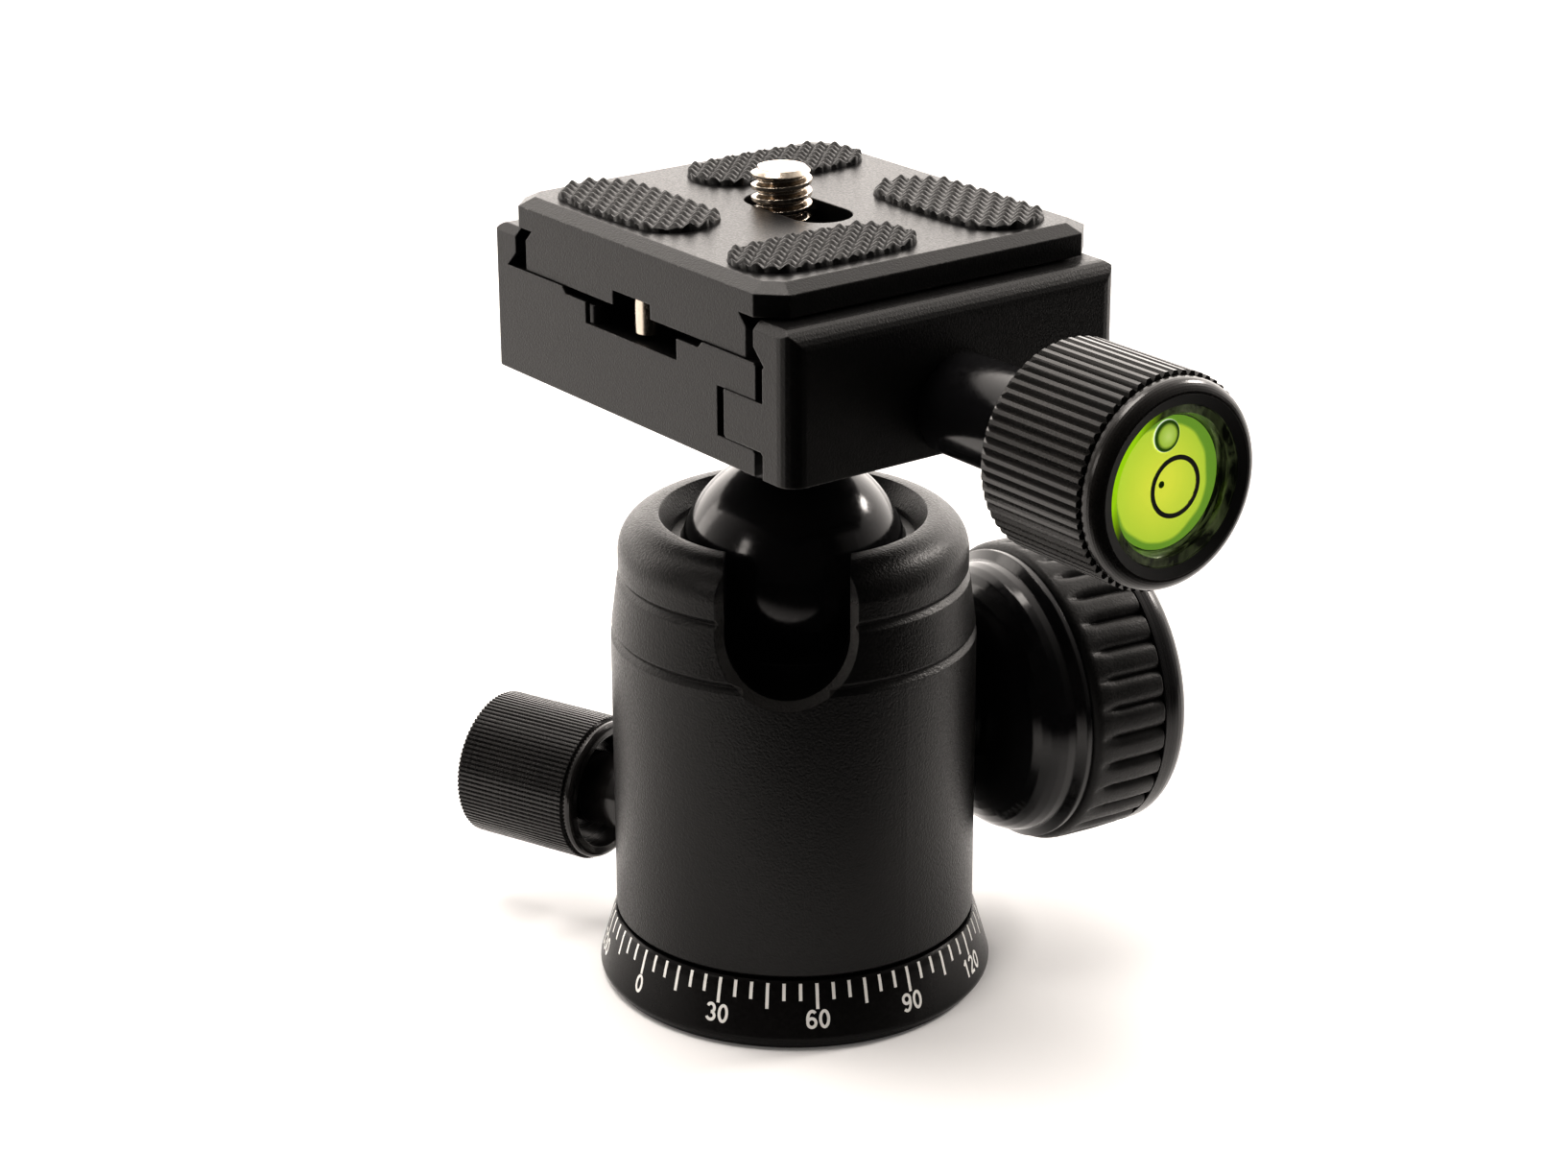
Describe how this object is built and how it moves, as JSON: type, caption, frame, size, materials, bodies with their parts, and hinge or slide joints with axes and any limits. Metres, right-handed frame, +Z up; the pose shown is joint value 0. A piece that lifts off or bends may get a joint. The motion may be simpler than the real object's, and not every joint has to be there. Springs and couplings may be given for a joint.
{
  "type": "tripod ball head",
  "caption": "Tripod ball head with a drop notch, a panning base, lock knobs, and a dovetail clamp that holds a quick-release plate with grip pads and a camera screw.",
  "frame": {"origin": "middle of the base's underside, at the mouth of the tripod socket", "axes": "+Z up along the pan axis towards the camera screw, +X along the clamp's knob, +Y along the dovetail"},
  "size_m": [0.0988, 0.0643, 0.0892],
  "materials": {
    "anodised_black": "satin sand-blasted black anodised aluminium",
    "base_gloss_black": "semi-gloss black anodised aluminium",
    "gloss_black": "gloss black",
    "ball_gloss_black": "polished black hard-anodised aluminium",
    "rubber_black": "matte moulded rubber",
    "acetal_black": "black acetal, satin",
    "steel": "turned steel",
    "brass": "turned brass",
    "nickel": "nickel-plated steel",
    "clear_acrylic": "clear polished acrylic",
    "level_fluid": "tinted level fluid",
    "level_bubble": "air bubble",
    "print_black": "printed black line"
  },
  "bodies": {
    "base": {"pan_base": "base_gloss_black", "tripod_insert": "brass", "pan_spindle": "steel", "spindle_screws": "steel", "retaining_ring": "steel"},
    "housing": {"housing": "anodised_black", "pan_bearing": "brass", "upper_ball_ring": "acetal_black", "lock_bush": "gloss_black"},
    "cup": {"lower_ball_cup": "acetal_black"},
    "wedge": {"lock_wedge": "steel"},
    "lock_knob": {"lock_screw": "steel", "lock_hub": "gloss_black", "lock_grip": "rubber_black", "lock_cap": "gloss_black"},
    "pan_pad": {"pan_brake_pad": "acetal_black"},
    "pan_knob": {"pan_screw": "steel", "pan_knob": "anodised_black"},
    "ball": {"ball": "ball_gloss_black"},
    "stem": {"ball_stem": "ball_gloss_black"},
    "clamp": {"clamp_body": "anodised_black", "clamp_bolt": "steel", "guide_pins": "steel", "stop_pins": "gloss_black"},
    "jaw": {"sliding_jaw": "anodised_black", "clamp_sleeve": "gloss_black"},
    "clamp_knob": {"clamp_knob": "anodised_black", "clamp_screw": "steel", "level_case": "clear_acrylic", "level_liquid": "level_fluid", "level_circle": "print_black", "level_bubble": "level_bubble"},
    "plate": {"plate": "anodised_black", "stop_screws": "nickel", "pad_front_left": "rubber_black", "pad_front_right": "rubber_black", "pad_back_right": "rubber_black", "pad_back_left": "rubber_black"},
    "keeper": {"screw_keeper": "steel"},
    "camera_screw": {"camera_screw": "nickel"}
  },
  "joints": [
    {"name": "pan", "type": "hinge", "parent": "base", "child": "housing", "pos_m": [0, 0, 0.012], "axis": [0, 0, 1], "continuous": true},
    {"name": "ball_side_tilt", "type": "hinge", "parent": "housing", "child": "ball", "pos_m": [0, 0, 0.0469], "axis": [-0.7771, 0.6293, 0], "range_deg": [-30, 30]},
    {"name": "ball_drop_tilt", "type": "hinge", "parent": "ball", "child": "stem", "pos_m": [0, 0, 0.0469], "axis": [0.6293, 0.7771, 0], "range_deg": [-30, 90]},
    {"name": "clamp_spin", "type": "hinge", "parent": "stem", "child": "clamp", "pos_m": [0, 0, 0.0667], "axis": [0, 0, 1], "continuous": true},
    {"name": "jaw_slide", "type": "slide", "parent": "clamp", "child": "jaw", "axis": [1, 0, 0], "range_m": [0, 0.005]},
    {"name": "clamp_knob_turn", "type": "hinge", "parent": "jaw", "child": "clamp_knob", "pos_m": [0.05, 0, 0.0715], "axis": [1, 0, 0], "range_deg": [0, 1800]},
    {"name": "wedge_slide", "type": "slide", "parent": "housing", "child": "wedge", "axis": [0.1219, 0.9925, 0], "range_m": [0, 0.00125]},
    {"name": "lock_knob_turn", "type": "hinge", "parent": "wedge", "child": "lock_knob", "pos_m": [0, 0, 0.026], "axis": [0.1219, 0.9925, 0], "range_deg": [0, 360]},
    {"name": "cup_lift", "type": "slide", "parent": "housing", "child": "cup", "axis": [0, 0, 1], "range_m": [-0.0003125, 0]},
    {"name": "pan_pad_slide", "type": "slide", "parent": "housing", "child": "pan_pad", "axis": [-0.9336, -0.3584, 0], "range_m": [0, 0.00075]},
    {"name": "pan_knob_turn", "type": "hinge", "parent": "pan_pad", "child": "pan_knob", "pos_m": [0, 0, 0.0145], "axis": [-0.9336, -0.3584, 0], "range_deg": [0, 270]},
    {"name": "plate_slide", "type": "slide", "parent": "clamp", "child": "plate", "axis": [0, 1, 0], "range_m": [-0.0065, 0.0065]},
    {"name": "screw_slide", "type": "slide", "parent": "plate", "child": "keeper", "axis": [1, 0, 0], "range_m": [-0.0009, 0.0065]},
    {"name": "camera_screw_spin", "type": "hinge", "parent": "keeper", "child": "camera_screw", "pos_m": [-0.0023, 0.0004, 0.083], "axis": [0, 0, 1], "continuous": true}
  ],
  "couplings": [
    {"joint": "clamp_knob_turn", "follows": "jaw_slide", "rad_per_m": 6283.2},
    {"joint": "lock_knob_turn", "follows": "wedge_slide", "rad_per_m": 5026.5},
    {"joint": "cup_lift", "follows": "wedge_slide", "ratio": -0.25},
    {"joint": "pan_knob_turn", "follows": "pan_pad_slide", "rad_per_m": 6283.2}
  ]
}
